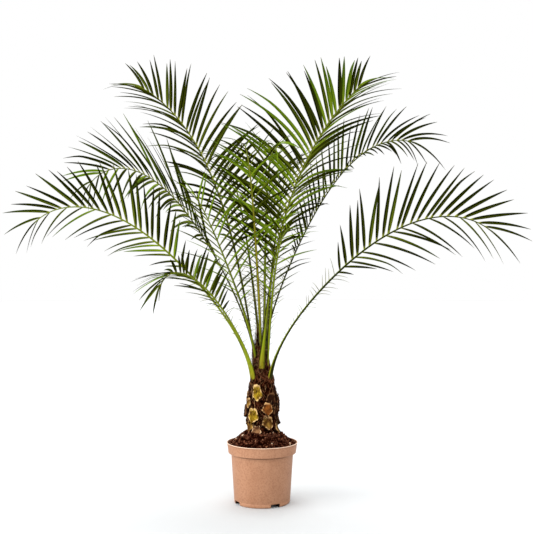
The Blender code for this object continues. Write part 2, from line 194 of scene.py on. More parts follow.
# Loose fibre: how many threads, how tall, how far they lean round and stand out, half their thickness, and
# their paints: 0 dark, 1 red and 2 straw. In the heart they sway by the lean and open out by the next.
Threads = namedtuple("Threads", "count tall lean proud half paints")
TRUNK_THREADS = Threads(
    900, (0.010, 0.034), (-28, 28), (0.0012, 0.0020, 0.0035, 0.0060), (0.00025, 0.0006), (0, 0, 0, 1, 1, 2),
)
SHEATH_THREADS = Threads(
    760, (0.012, 0.040), (5, 60), (0.0006, 0.0012, 0.0020, 0.0045), (0.0002, 0.0005), (0, 0, 1, 1, 1, 1, 2),
)
HEART_THREADS = Threads(150, (0.030, 0.085), 9, 0.003, (0.0004, 0.0008), (0, 0, 0, 0, 1, 2))
HEART_OUT = (0.004, 0.013)
HEART_UP = (0.372, 0.408)
THREAD_LIFT = 0.0012
TUFT_THREADS = 60
TUFT_UP = 0.2733
TUFT_BEARING = 344
TUFT_PROUD = 0.010
TUFT_HALF = 0.0006

# Fibre sheath: its outline as radius and height, the lean of its column, and its threads
SHEATH_FOOT, SHEATH_HIGH = (corner.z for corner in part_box("fibre_sheath"))
SHEATH_OUTLINE = (
    (0.0315, 0.3146), (0.0322, 0.3240), (0.0290, 0.3345), (0.0232, 0.3453), (0.0222, 0.3638),
    (0.0214, 0.3790), (0.0200, 0.3960), (0.0172, 0.4100), (0.0125, 0.4163),
)
SHEATH_STEPS = 120
SHEATH_LEVELS = 80
SHEATH_LUMP_UP, SHEATH_LUMP_SIZE = 0.0012, 0.012
LEAN_FROM = 0.3450
LEAN_OVER = 0.0600
COLUMN_LEAN = 0.0070
SHEATH_THREADS_UP = (SHEATH_FOOT - 0.004, 0.3973)

# Stems
FOOT_LEAN = 8
FLARE = 5
STEM_STEPS = 70
STEM_SIDES = 12
STEM_FLAT = 0.62
RIB_HALF_WIDE = 0.0042
RIB_HALF_DEEP = 0.0030
RIB_THINNING = 0.70
FOOT_FADE = 0.060
FOOT_HOLD = 0.035
FOOT_TURN = 0.050
ROLLED_BY = 0.5

# Spines
SPINE_PITCH = 0.013
SPINE_FROM = 0.05
SPINE_SLANT = (42, 72)
SPINE_VEE = (-5, 50)
SPINE_LONG, SPINE_LONGER = 0.014, 0.036
SPINE_SPREAD = (0.5, 1.3)
SPINE_DROOP = 0.25
SPINE_HALF = 0.0005

# Leaflets. A spread is the least and the most by which a value is multiplied, and a stray is the most by
# which one is off the rule, in degrees for an angle.
BLADE_END = 0.985
STAGGER = 0.25
PLACE_STRAY = 0.2
FIRST_LEAF_SHARE = 0.22
LEAF_RISE = 0.13
LONGEST_AT = 0.35
LEAF_FALL = 1.4
LENGTH_SPREAD = (0.94, 1.08)
SLANT_CLOSES = 0.50
CLOSING_CURVE = 2.5
SLANT_STRAY = 3.5
VEE_STRAY = 7
DROOP_SPREAD = (0.65, 1.3)
CURL = 0.05
KINK = (0.2, 0.5)
KINK_CHANCE = 0.12
KINK_FROM = 0.7
TWIST = 35
LEAF_HALF_WIDE = 0.0050
WIDTH_SPREAD = (0.85, 1.05)
SHORT_LEAF_WIDTH = 0.55
FULL_WIDTH_FROM = 0.15
LEAF_WIDEST = 0.26
ROOT_WIDTH = 0.5
NARROWING = 1.9
TIP_SHARE = 0.04
TIP_CURVE = 0.75
BLADE_THIN = 0.085
ROOT_FOLD = 0.75
FOLD_OPENS = 0.45
OPEN_FROM = 0.5
LEAF_RINGS = 12
LEAF_WAYS = [1 - (1 - ring / LEAF_RINGS) ** 1.25 for ring in range(LEAF_RINGS + 1)]
ROOT_RINGS = 2
ATTEMPTS = 6
SHORTENED_FROM = 4
SHORTENED = 0.7

# On a long frond, leaflets that hang are narrower and droop more, and every second steep one is left out
LONG_FROND = 0.60
HANG_BELOW = 0.35
HANG_DROOP = 0.22
HANG_NARROW = 0.45
THINNED_BELOW = -0.12

Ring = namedtuple("Ring", "out up half_wide half_deep bare")
LOW = Ring(0.0275, 0.3293, 0.0078, 0.0048, 0.43)
FRONT = Ring(0.0190, 0.3583, 0.0100, 0.0044, 0.36)
OUTER = Ring(0.0175, 0.3623, 0.0045, 0.0036, 0.36)
INNER = Ring(0.0065, 0.4023, 0.0038, 0.0031, 0.34)

# The fronds by the rule of the part's source, where centre_left and centre_front droop less. The second line
# of each is its dress: the leaflets in a row, the shares of deep, fresh and bright green ones, their width as
# a share of the usual, the stem's paint, and how freely the leaflets stray from the rule.
Frond = namedtuple("Frond", (
    "name ring bearing heading turn long spread tip bend roll vee slant leaf last droop "
    "row greens wide stem loose"
))
# Stems are painted lit, or as a darker copy in painted shade, and each has a band of painted shade along its
# edges or on its upper or lower side
LIT, SHADED, SHADED_ABOVE, SHADED_BELOW, GOLD = range(5)
FRONDS = (
    Frond("left_long", LOW, 183, 194, 0, 0.794, 47.2, 141, 4.8, -55, 14, 53, 0.160, 0.096, 0.10,
          23, (6, 3, 1), 1.00, SHADED_ABOVE, 1.0),
    Frond("left_low", LOW, 216, 210, 36, 0.480, 38.5, 147, 4.0, -20, 22, 52, 0.125, 0.080, 0.25,
          21, (5, 4, 1), 0.92, SHADED_ABOVE, 1.0),
    Frond("left_arch", OUTER, 148, 152, 0, 0.885, 37.2, 143, 4.5, -42, 10, 51, 0.244, 0.083, 0.20,
          31, (4, 3, 3), 1.06, SHADED, 1.0),
    Frond("left_tall", OUTER, 180, 157, 0, 0.879, 12.3, 62, 2.7, 44, 43, 59, 0.196, 0.107, 0.37,
          31, (7, 3, 0), 1.06, SHADED, 1.0),
    Frond("left_front", OUTER, 213, 232, 0, 0.515, 32.0, 47, 7.0, -15, 25, 52, 0.150, 0.090, 0.25,
          16, (3, 3, 4), 0.62, LIT, 2.0),
    Frond("centre_left", INNER, 235, 264, 0, 0.637, 31.0, 88, 6.0, -10, 25, 48, 0.155, 0.090, 0.42,
          16, (3, 2, 5), 0.60, GOLD, 2.6),
    Frond("right_main", FRONT, 262, 313, 0, 0.815, 4.2, 61, 1.6, 10, 34, 57, 0.250, 0.094, 0.46,
          36, (4, 3, 3), 1.06, LIT, 1.0),
    Frond("right_back", INNER, 38, 27, 0, 0.822, 30.3, 101, 4.0, 44, 36, 49, 0.146, 0.140, 0.29,
          29, (7, 3, 0), 0.88, SHADED, 1.0),
    Frond("right_long", LOW, 318, 348, 0, 0.779, 48.6, 132, 4.2, 62, 19, 52, 0.186, 0.118, 0.10,
          22, (7, 3, 0), 1.00, SHADED_BELOW, 1.0),
    Frond("centre_front", INNER, 315, 277, 0, 0.660, 4.0, 130, 4.0, 0, 25, 48, 0.155, 0.080, 0.42,
          17, (2, 4, 4), 0.72, LIT, 2.6),
    Frond("centre_right", OUTER, 322, 284, 0, 0.460, 20.0, 100, 4.0, 15, 25, 48, 0.115, 0.070, 0.25,
          13, (3, 4, 3), 0.64, LIT, 2.2),
    Frond("back", OUTER, 105, 112, 0, 0.760, 22.0, 90, 4.0, 0, 25, 48, 0.170, 0.100, 0.30,
          17, (6, 4, 0), 0.60, SHADED, 2.0),
    Frond("back_right", OUTER, 62, 76, 0, 0.760, 24.0, 95, 4.0, 10, 25, 48, 0.160, 0.100, 0.30,
          17, (6, 4, 0), 0.60, SHADED, 2.0),
)
Station = namedtuple("Station", "point along up across")
Leaf = namedtuple("Leaf", "share side slant vee length")


class Shape:
    """The points and faces of one piece while it is made. Each point has a place on the surface, for its
    material, and each face a paint, the number of its material."""

    def __init__(self):
        self.points = []
        self.places = []
        self.faces = []
        self.paints = []

    def add(self, points, places, faces, paint):
        base = len(self.points)
        self.points.extend(points)
        self.places.extend(places)
        self.faces.extend([tuple(base + corner for corner in face) for face in faces])
        self.paints.extend([paint] * len(faces))

    def loft(self, rings, paint=0, across=None, along=None, places=None):
        """A closed skin through rings that run anticlockwise round the way that they follow."""
        size = len(rings[0])
        count = len(rings)
        across = across or [corner / size for corner in range(size)]
        along = along or [number / (count - 1) for number in range(count)]
        points = [point for ring in rings for point in ring]
        places = places or [(side, way) for way in along for side in across]
        faces = [
            (low + corner, low + (corner + 1) % size, low + size + (corner + 1) % size, low + size + corner)
            for low in range(0, size * (count - 1), size) for corner in range(size)
        ]
        faces.append(tuple(range(size - 1, -1, -1)))
        faces.append(tuple(range(size * (count - 1), size * count)))
        self.add(points, places, faces, paint)

    def thread(self, path, half, paint=0):
        """A thin strand along a path, finer towards its end."""
        rings = []
        for number, point in enumerate(path):
            travel = (path[min(number + 1, len(path) - 1)] - path[max(number - 1, 0)]).normalized()
            upright = abs(travel.z) > 0.9
            side = travel.orthogonal().normalized() if upright else travel.cross(UP)
            side.normalize()
            up = travel.cross(side)
            size = half * (1 - 0.8 * (number / (len(path) - 1)) ** 2)
            rings.append([
                point + (side * cos(turn) + up * sin(turn)) * size
                for turn in (0, tau / 3, tau * 2 / 3)
            ])
        self.loft(rings, paint)

    def finish(self, name, paints, slot, nodes=()):
        """Makes the piece, which rides on the root and stands for those CAD nodes."""
        mesh = bpy.data.meshes.new(name)
        mesh.from_pydata(self.points, [], self.faces)
        layer = mesh.uv_layers.new(name="place")
        corners = [0] * len(mesh.loops)
        mesh.loops.foreach_get("vertex_index", corners)
        layer.data.foreach_set("uv", [value for corner in corners for value in self.places[corner]])
        for paint in paints:
            mesh.materials.append(paint)
        mesh.polygons.foreach_set("material_index", self.paints)
        mesh.shade_smooth()
        mesh.set_sharp_from_angle(angle=radians(SHARP))
        obj = stand(name, mesh)
        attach(obj, "root")
        if nodes:
            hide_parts(*nodes)
        return obj


def lofted(rings, places=None):
    """A shape of one skin through rings."""
    shape = Shape()
    shape.loft(rings, places=places)
    return shape


def stand(name, data):
    """A new object of the data in the scene."""
    obj = bpy.data.objects.new(name, data)
    bpy.context.scene.collection.objects.link(obj)
    return obj


def radial(bearing, out, up):
    """A point at a bearing in degrees round the axis, so far out from it and so high."""
    turned = radians(bearing)
    return Vector((out * cos(turned), out * sin(turned), up))


def between(pairs, up):
    """The radius at a height on an outline of radius and height pairs that runs upwards."""
    if up <= pairs[0][1]:
        return pairs[0][0]
    for (low_out, low_up), (high_out, high_up) in zip(pairs, pairs[1:]):
        if up <= high_up:
            return low_out + (high_out - low_out) * (up - low_up) / (high_up - low_up)
    return pairs[-1][0]


def rough(point, size):
    """Layered noise from about -1 to 1 whose largest lumps are of that size."""
    return noise.fractal(point / size, 1.0, 2.0, 4)


class Paint:
    """A procedural material on one Principled shader."""

    def __init__(self, name, roughness, specular):
        self.material = bpy.data.materials.new(name)
        self.material.use_nodes = True
        self.nodes = self.material.node_tree.nodes
        self.links = self.material.node_tree.links
        self.shader = self.nodes["Principled BSDF"]
        self.shader.inputs["Roughness"].default_value = roughness
        self.shader.inputs["Specular IOR Level"].default_value = specular
        self.coordinates = self.nodes.new("ShaderNodeTexCoord")

    def noise(self, scale, detail, stretch=(1, 1, 1), on="Object"):
        """A noise texture's value over the object's own space, or over the places on its surface."""
        mapping = self.nodes.new("ShaderNodeMapping")
        mapping.inputs["Scale"].default_value = stretch
        texture = self.nodes.new("ShaderNodeTexNoise")
        texture.inputs["Scale"].default_value = scale
        texture.inputs["Detail"].default_value = detail
        self.links.new(self.coordinates.outputs[on], mapping.inputs["Vector"])
        self.links.new(mapping.outputs["Vector"], texture.inputs["Vector"])
        return texture.outputs["Fac"]

    def ramp(self, value, *stops):
        """Colours by value: each stop is a position and a colour."""
        ramp = self.nodes.new("ShaderNodeValToRGB")
        elements = ramp.color_ramp.elements
        while len(elements) < len(stops):
            elements.new(0.5)
        for element, (position, colour) in zip(elements, stops):
            element.position = position
            element.color = (*colour, 1)
        self.links.new(value, ramp.inputs["Fac"])
        return ramp.outputs["Color"]

    def mix(self, first, second, value, low, high, to_low=0.0, to_high=1.0):
        """Mixes in the second colour as a value goes from low to high. Three numbers are a uniform colour."""
        share = self.range(value, low, high, to_low, to_high)
        mixer = self.nodes.new("ShaderNodeMix")
        mixer.data_type = "RGBA"
        self.links.new(share, mixer.inputs["Factor"])
        for name, colour in (("A", first), ("B", second)):
            socket = next(each for each in mixer.inputs if each.name == name and each.type == "RGBA")
            if isinstance(colour, tuple):
                socket.default_value = (*colour, 1)
            else:
                self.links.new(colour, socket)
        return next(each for each in mixer.outputs if each.type == "RGBA")

    def range(self, value, low, high, to_low, to_high):
        """Value moved from one range to another and held within it."""
        mapped = self.nodes.new("ShaderNodeMapRange")
        for name, number in (("From Min", low), ("From Max", high), ("To Min", to_low), ("To Max", to_high)):
            mapped.inputs[name].default_value = number
        self.links.new(value, mapped.inputs["Value"])
        return mapped.outputs["Result"]

    def place(self):
        """The two numbers of the place on the surface."""
        split = self.nodes.new("ShaderNodeSeparateXYZ")
        self.links.new(self.coordinates.outputs["UV"], split.inputs["Vector"])
        return split.outputs["X"], split.outputs["Y"]

    def step(self, operation, value, number=0.0):
        """One step of arithmetic on a value."""
        node = self.nodes.new("ShaderNodeMath")
        node.operation = operation
        node.inputs[1].default_value = number
        self.links.new(value, node.inputs[0])
        return node.outputs["Value"]

    def done(self, colour, rough=None, bump=None):
        """The material with its colour, a value and its range of roughness, and a value and the strength and
        depth of its bump."""
        self.links.new(colour, self.shader.inputs["Base Color"])
        if rough:
            value, low, high = rough
            self.links.new(self.range(value, 0.3, 0.7, low, high), self.shader.inputs["Roughness"])
        if bump:
            value, strength, distance = bump
            node = self.nodes.new("ShaderNodeBump")
            node.inputs["Strength"].default_value = strength
            node.inputs["Distance"].default_value = distance
            self.links.new(value, node.inputs["Height"])
            self.links.new(node.outputs["Normal"], self.shader.inputs["Normal"])
        return self.material


def leaf_paint(name, deep, fresh, edge, gloss):
    """A leaflet: streaks along it, a pale midrib, pale margins that are a painted sheen, a yellow root and a
    dry tip.
    Its fold parts a half in painted shade, on the side of the frond's foot, from a half in painted light that
    fades towards the tip."""
    paint = Paint(name, 0.6, gloss)
    across, along = paint.place()
    off_middle = paint.step("ABSOLUTE", paint.step("SUBTRACT", across, 0.5))
    patches = paint.noise(9, 3)
    streaks = paint.noise(14, 2, (1, 0.02, 1), "UV")
    green = paint.ramp(patches, (0.35, deep), (0.65, fresh))
    # Painted light and shade: the half of the fold towards the frond's tip is paler, as if lit, most near the
    # root; the half towards the foot keeps the darker green, as shade
    lit_half = paint.mix(green, edge, along, 0.12, 0.70, 0.65, 0.05)
    green = paint.mix(green, lit_half, across, 0.49, 0.56)
    green = paint.mix(green, edge, streaks, 0.58, 0.78, 0, 0.35)
    green = paint.mix(green, edge, off_middle, 0.03, 0.07, 0.5, 0)
    # The pale margins are a painted sheen
    green = paint.mix(green, edge, off_middle, 0.38, 0.49, 0, 0.7)
    green = paint.mix(green, (0.36, 0.38, 0.06), along, 0.0, 0.07, 0.85, 0)
    green = paint.mix(green, (0.10, 0.075, 0.03), along, 0.95, 1.0, 0, 0.8)
    return paint.done(green, (patches, 0.52, 0.68), (streaks, 0.25, 0.0006))


def stem_paint(name, stops, ridge, edge, shade_at, half_turn, reach):
    """Petiole and rib: colours from foot to tip, with pale ridges. It is painted in shade at one place round
    it, and again each two half turns further on."""
    paint = Paint(name, 0.6, 0.03)
    around, along = paint.place()
    ribs = paint.noise(26, 2, (1, 0.05, 1), "UV")
    patches = paint.noise(18, 5)
    colour = paint.ramp(along, *stops)
    colour = paint.mix(colour, ridge, ribs, 0.48, 0.66, 0, 0.6)
    colour = paint.mix(colour, edge, patches, 0.54, 0.70, 0, 0.6)
    # Painted shade: a band of the dark edge colour along both edges, or along the upper or the lower side
    off_shade = paint.step("PINGPONG", paint.step("SUBTRACT", around, shade_at), half_turn)
    colour = paint.mix(colour, edge, off_shade, reach, reach + 0.07, 0.97, 0)
    return paint.done(colour, (patches, 0.45, 0.65), (ribs, 0.3, 0.0006))


def thread_paint(name, dark, light):
    """Fibres: each with darker and lighter stretches."""
    paint = Paint(name, 0.85, 0.0)
    patches = paint.noise(110, 4)
    return paint.done(paint.ramp(patches, (0.35, dark), (0.65, light)), (patches, 0.75, 0.95))


def earth_paint(name, dark, middle, light):
    """Soil, bark or fibre mat: mottled at two scales with a rough bump."""
    paint = Paint(name, 0.92, 0.0)
    lumps = paint.noise(90, 8)
    grains = paint.noise(420, 5)
    colour = paint.ramp(lumps, (0.34, dark), (0.52, middle), (0.72, light))
    colour = paint.mix(colour, dark, grains, 0.55, 0.7, 0, 0.6)
    return paint.done(colour, (grains, 0.85, 1.0), (grains, 0.6, 0.0012))


def cut_paint(name, face, face_dark, rim):
    """A cut leaf base. Its place is the height on its face, from 0 to 1, and how far out it is: 1 at the rim
    and more down its side. The pale rim breaks off in places and is widest at the top."""
    paint = Paint(name, 0.75, 0.02)
    height, out = paint.place()
    patches = paint.noise(75, 6)
    grain = paint.noise(240, 4, (1, 1, 0.18))
    breaks = paint.noise(130, 3)
    colour = paint.ramp(patches, (0.36, face_dark), (0.62, face))
    colour = paint.mix(colour, face_dark, grain, 0.50, 0.68, 0, 0.6)
    edge = paint.mix(face_dark, rim, breaks, 0.46, 0.56)
    colour = paint.mix(colour, edge, out, 0.74, 0.96, 0, 0.9)
    cut_edge = paint.mix(colour, rim, breaks, 0.36, 0.50)
    colour = paint.mix(colour, cut_edge, height, 0.74, 0.86)
    # Painted shade: down its side, where it goes back into the trunk, the base is near black
    colour = paint.mix(colour, (0.012, 0.004, 0.002), out, 1.02, 1.25, 0, 1)
    return paint.done(colour, (patches, 0.65, 0.9), (grain, 0.5, 0.0010))


def pot_paint():
    """Moulded plastic in a clay colour, matt and mottled, with a fine grain. Its place is how dark with
    painted shade and how pale with a painted highlight it is."""
    paint = Paint("pot_plastic", 0.5, 0.25)
    painted_shade, painted_highlight = paint.place()
    clouds = paint.noise(28, 5)
    mottle = paint.noise(230, 4)
    grain = paint.noise(900, 3)
    colour = paint.ramp(clouds, (0.30, (0.350, 0.165, 0.088)), (0.70, (0.400, 0.200, 0.112)))
    colour = paint.mix(colour, (0.23, 0.095, 0.048), mottle, 0.36, 0.52, 0.45, 0)
    colour = paint.mix(colour, (0.52, 0.29, 0.17), grain, 0.5, 0.75, 0, 0.4)
    # Painted highlight: the top of the lip is paler
    colour = paint.mix(colour, (0.78, 0.56, 0.42), painted_highlight, 0.2, 1.0, 0, 0.8)
    # Painted shade: near black in the groove under the collar, along the line under the lip and on the drain
    # channels' faces
    colour = paint.mix(colour, (0.008, 0.003, 0.0015), painted_shade, 0.1, 1.0, 0, 0.98)
    return paint.done(colour, (grain, 0.45, 0.62), (grain, 0.18, 0.0004))


def floor_paint():
    paint = Paint("studio_floor", 0.9, 0.1)
    clouds = paint.noise(3, 3)
    greys = (FLOOR_GREY, FLOOR_GREY * FLOOR_CLOUDS)
    dark, light = [tuple(share * grey for share in FLOOR_TINT) for grey in greys]
    return paint.done(paint.ramp(clouds, (0.3, dark), (0.7, light)))


def arc(out, up, size, start, end, steps=6):
    """Points of an arc in a profile, by its middle, radius and angles in degrees."""
    turns = [radians(start + (end - start) * step / steps) for step in range(steps + 1)]
    return [(out + size * cos(turn), up + size * sin(turn)) for turn in turns]


def pot_profile():
    """The pot's outline from the middle of its underside to the middle of its inside, as radius and height
    pairs, and how dark with painted shade and how pale with a painted highlight each point is."""
    body_up = (BODY_TOP_RADIUS - BODY_FOOT_RADIUS) / COLLAR_FOOT
    bead_out = BODY_FOOT_RADIUS + body_up * BEAD_UP
    groove_out = BODY_TOP_RADIUS - GROOVE_DEEP
    groove_foot, groove_low, groove_high = (COLLAR_FOOT - below for below in GROOVE_BELOW)
    lip_foot = POT_TALL - 2 * LIP_ROUND
    profile = [(0, 0)]
    profile += arc(BODY_FOOT_RADIUS - FOOT_ROUND, FOOT_ROUND, FOOT_ROUND, -90, 0)
    profile += [(bead_out, BEAD_UP - BEAD_HALF), (bead_out - BEAD_DEEP, BEAD_UP)]
    profile += [(bead_out, BEAD_UP + BEAD_HALF)]
    profile += [(BODY_TOP_RADIUS - GROOVE_EASE, groove_foot), (groove_out, groove_low)]
    groove = len(profile)
    profile += [(groove_out, groove_high)]
    profile += arc(COLLAR_FOOT_RADIUS - COLLAR_ROUND, COLLAR_FOOT + COLLAR_ROUND_UP, COLLAR_ROUND, -80, 0)
    under_lip = len(profile) + 1
    profile += [(RIM_RADIUS - LIP_INSET, lip_foot - below) for below in UNDER_LIP]
    lip = len(profile)
    profile += arc(RIM_RADIUS - LIP_ROUND, POT_TALL - LIP_ROUND, LIP_ROUND, -75, 180, LIP_STEPS)
    profile += [
        (RIM_RADIUS - 2 * LIP_ROUND - LIP_BACK, lip_foot - WALL),
        (COLLAR_FOOT_RADIUS - WALL, COLLAR_FOOT + 2 * WALL),
        (BODY_TOP_RADIUS - WALL, COLLAR_FOOT + WALL),
        (BODY_FOOT_RADIUS - WALL, FLOOR_THICK),
        (0, FLOOR_THICK),
    ]
    # Painted shade in the groove under the collar and along the line under the lip
    shade_marks = {groove - 1: 0.6, groove: 0.85, groove + 1: 0.5, under_lip: 0.55}
    marks = [(shade_marks.get(number, 0), int(number - lip in LIP_HIGHLIT)) for number in range(len(profile))]
    return profile, marks


def make_pot():
    """The pot's outer and inner faces turned in many steps, with its drain channels cut."""
    profile, marks = pot_profile()
    turns = [360 * step / POT_STEPS for step in range(POT_STEPS)]
    rings = [[radial(turn, max(out, POT_MIDDLE), up) for turn in turns] for out, up in profile]
    shape = lofted(rings, [mark for mark in marks for turn in turns])
    cut_channels(shape.finish("pot_shell", [pot_paint()], "pot_plastic", ["pot"]))


def cut_channels(pot):
    """Cuts the drain channels across the pot's lower edge, at equal steps round it."""
    reach = BODY_TOP_RADIUS - CHANNEL_START
    bm = bmesh.new()
    for number in range(CHANNELS):
        place = Matrix.Rotation(radians(CHANNEL_BEARING + number * 360 / CHANNELS), 4, "Z")
        place @= Matrix.Translation((CHANNEL_START + reach / 2, 0, 0))
        place @= Matrix.Diagonal((reach, CHANNEL_WIDE, 2 * CHANNEL_TALL, 1))
        bmesh.ops.create_cube(bm, size=1, matrix=place)
    bmesh.ops.bevel(bm, geom=bm.edges[:], offset=CHANNEL_ROUND, segments=2, profile=0.5, affect="EDGES")
    mesh = bpy.data.meshes.new("channels")
    bm.to_mesh(mesh)
    bm.free()
    # The channels' cut faces take the place 1, 0, which paints them near black as painted shade, with no
    # highlight
    layer = mesh.uv_layers.new(name="place")
    layer.data.foreach_set("uv", [1.0, 0.0] * len(mesh.loops))
    cutter = stand("channels", mesh)
    cut = pot.modifiers.new("channels", "BOOLEAN")
    cut.operation = "DIFFERENCE"
    cut.object = cutter
    cut.solver = "EXACT"
    shaped = pot.evaluated_get(bpy.context.evaluated_depsgraph_get())
    made = bpy.data.meshes.new_from_object(shaped)
    pot.modifiers.clear()
    pot.data = made
    bpy.data.objects.remove(cutter)
    pot.data.shade_smooth()
    pot.data.set_sharp_from_angle(angle=radians(POT_SHARP))


def mound_up(out):
    """The soil's height at a distance from the axis."""
    way = min(max((SOIL_HIGH.x - out) / (SOIL_HIGH.x - SOIL_SEAT_RADIUS), 0), 1)
    return SOIL_EDGE_UP + (SOIL_HIGH.z - SOIL_EDGE_UP) * way ** MOUND_CURVE


def make_mound(earth):
    """The potting soil, with a lumpy top that is smooth at its edge."""
    turns = [360 * step / SOIL_STEPS for step in range(SOIL_STEPS)]
    below = (
        (BODY_FOOT_RADIUS - SOIL_GAP, SOIL_LOW.z),
        (BODY_TOP_RADIUS - SOIL_GAP, COLLAR_FOOT),
        (COLLAR_FOOT_RADIUS - SOIL_GAP, COLLAR_FOOT + 2 * WALL),
    )
    rings = [[radial(turn, out, up) for turn in turns] for out, up in below]
    for number in range(SOIL_RINGS + 1):
        out = SOIL_OUT * (1 - number / (SOIL_RINGS + 0.5))
        fade = min(number / SMOOTH_RINGS, 1)
        ring = [radial(turn, out, mound_up(out)) for turn in turns]
        for point in ring:
            relief = LUMP_UP * rough(point, LUMP_SIZE) + GRAIN_UP * rough(point, GRAIN_SIZE)
            point.z += relief * fade - SOIL_SINK
        rings.append(ring)
    lofted(rings).finish("soil_mound", [earth], "soil", ["soil"])


def small_ball():
    """The points and faces of a ball of few faces, from which each crumb is bent."""
    bm = bmesh.new()
    bmesh.ops.create_icosphere(bm, subdivisions=1, radius=1)
    points = [vert.co.copy() for vert in bm.verts]
    faces = [tuple(vert.index for vert in face.verts) for face in bm.faces]
    bm.free()
    return points, faces


def add_crumb(shape, ball, centre, size, stretch, chance, paint):
    """A small irregular ball, turned at random."""
    angle = chance.uniform(0, tau)
    turn = Matrix.Rotation(angle, 3, Vector((chance.gauss(0, 1), chance.gauss(0, 1), 1)))
    points = []
    for corner in ball[0]:
        dent = 1 + 0.28 * noise.noise(corner * 1.3 + centre * 900)
        bent = corner * dent
        points.append(centre + turn @ Vector((bent.x * stretch, bent.y, bent.z / stretch ** 0.5)) * size)
    shape.add(points, [(0.5, 0.5)] * len(points), ball[1], paint)


def make_crumbs(paints):
    """Crumbs of soil and chips of bark, pressed into the mound. Paints are 0 dark, 1 red and 2 pale."""
    chance = random.Random(7)
    shape = Shape()
    ball = small_ball()
    for number in range(CRUMBS + CHIPS):
        chip = number >= CRUMBS
        out = sqrt(chance.uniform(CRUMBS_FROM ** 2, CRUMBS_TO ** 2))
        bearing = chance.uniform(0, 360)
        size = chance.uniform(*CRUMB_SIZES) * (CHIP_BIGGER if chip else 1)
        centre = radial(bearing, out, mound_up(out))
        centre.z += LUMP_UP * rough(centre, LUMP_SIZE) + size * 0.2
        if chip:
            paint = 1 if chance.random() < RED_CHIPS else 2
            stretch = chance.uniform(*CHIP_STRETCH)
        else:
            stretch = chance.uniform(*CRUMB_STRETCH)
            paint = 1 if chance.random() < RED_CRUMBS else 0
        add_crumb(shape, ball, centre, size, stretch, chance, paint)
    shape.finish("soil_crumbs", paints, "soil")


def make_soil():
    """The mound of potting soil, and the crumbs and chips on it."""
    earth = earth_paint("soil_dark", (0.0012, 0.0002, 0.0001), (0.018, 0.0034, 0.0014), (0.130, 0.047, 0.026))
    red = earth_paint("soil_red", (0.014, 0.002, 0.001), (0.110, 0.036, 0.018), (0.28, 0.13, 0.070))
    pale = earth_paint("soil_chip", (0.25, 0.14, 0.08), (0.55, 0.38, 0.26), (0.85, 0.68, 0.52))
    make_mound(earth)
    make_crumbs([earth, red, pale])


def upright_rings(outline, low, high, levels, steps, relief):
    """Rings up a round outline, whose radius takes on the relief at each point."""
    rings = []
    for level in range(levels + 1):
        up = low + (high - low) * level / levels
        ring = []
        for step in range(steps):
            turn = 360 * step / steps
            point = radial(turn, outline(up), up)
            ring.append(radial(turn, outline(up) + relief(point, up), up))
        rings.append(ring)
    return rings


def core_radius(up):
    """The trunk's radius between its cut bases, at a height."""
    return between(CORE_OUTLINE, up)


def core_relief(point, up):
    """Upright ridges and lumps."""
    ridge = noise.noise(Vector((point.x * 260, point.y * 260, up * 45)))
    return RIDGE_UP * ridge + CORE_LUMP_UP * rough(point, CORE_LUMP_SIZE)


def make_core(fibre_mat):
    """The trunk's matted surface under its leaf bases."""
    rings = upright_rings(core_radius, TRUNK_FOOT, TRUNK_TOP, CORE_LEVELS, CORE_STEPS, core_relief)
    lofted(rings).finish("trunk_core", [fibre_mat], "trunk_bark", ["trunk"])


def torn_corners(chance):
    """The corners of a cut face, as angles and shares of its half size: a shield that stands on its point."""
    return [
        (
            radians(FIRST_CORNER + 360 / CORNERS * number + chance.uniform(-CORNER_STRAY, CORNER_STRAY)),
            chance.uniform(*CORNER_OUT),
        )
        for number in range(CORNERS)
    ]


def edge_at(corners, turn):
    """How far out the straight edges between the corners lie at an angle."""
    after = corners[1:] + [(corners[0][0] + tau, corners[0][1])]
    for (first, near), (second, far) in zip(corners, after):
        past = (turn - first) % tau
        wide = second - first
        if past <= wide:
            return near * far * sin(wide) / (near * sin(past) + far * sin(wide - past))
    return corners[0][1]


def add_base(shape, number, chance):
    """One cut leaf base: a shield with a raised rim round a dry face."""
    look = BASE_LOOKS.get(number) or Look(chance.choice((OLIVE, TAN, TAN, RUST, RUST, DARK)), *BASE_SIZE)
    up = STUB_TOP - number * STUB_STEP + look.lift
    bearing = STUB_BEARING + number * GOLDEN_ANGLE + look.turn + chance.uniform(-BEARING_STRAY, BEARING_STRAY)
    proud = STUB_PROUD + look.forward - chance.uniform(0, PROUD_STRAY)
    place = Matrix.Rotation(radians(bearing), 4, "Z")
    place @= Matrix.Translation((core_radius(up) + proud, 0, up))
    place @= Matrix.Rotation(radians(-STUB_TILT + chance.uniform(*TILT_STRAY)), 4, "Y")
    place @= Matrix.Rotation(radians(chance.uniform(-ROLL_STRAY, ROLL_STRAY)), 4, "X")
    wide = STUB_WIDE * look.wide * chance.uniform(*SIZE_STRAY)
    tall = STUB_TALL * look.tall * chance.uniform(*SIZE_STRAY)
    corners = torn_corners(chance)
    rings = []
    places = []
    for forward, share, out in BASE_RINGS:
        ring = []
        for step in range(BASE_STEPS):
            turn = tau * step / BASE_STEPS
            edge = edge_at(corners, turn)
            edge *= 1 + 0.05 * noise.noise(Vector((cos(turn) * 4, sin(turn) * 4, number * 3.1)))
            y = cos(turn) * edge * wide * share
            z = sin(turn) * edge * tall * share
            dome = -DOME * y ** 2 / wide
            x = forward + dome + 0.0014 * noise.noise(Vector((y * 160, z * 160, number * 1.7)))
            ring.append(place @ Vector((x, y, z)))
            places.append((0.5 + z / tall / 2, out))
        rings.append(ring)
    shape.loft(rings, look.paint, places=places)


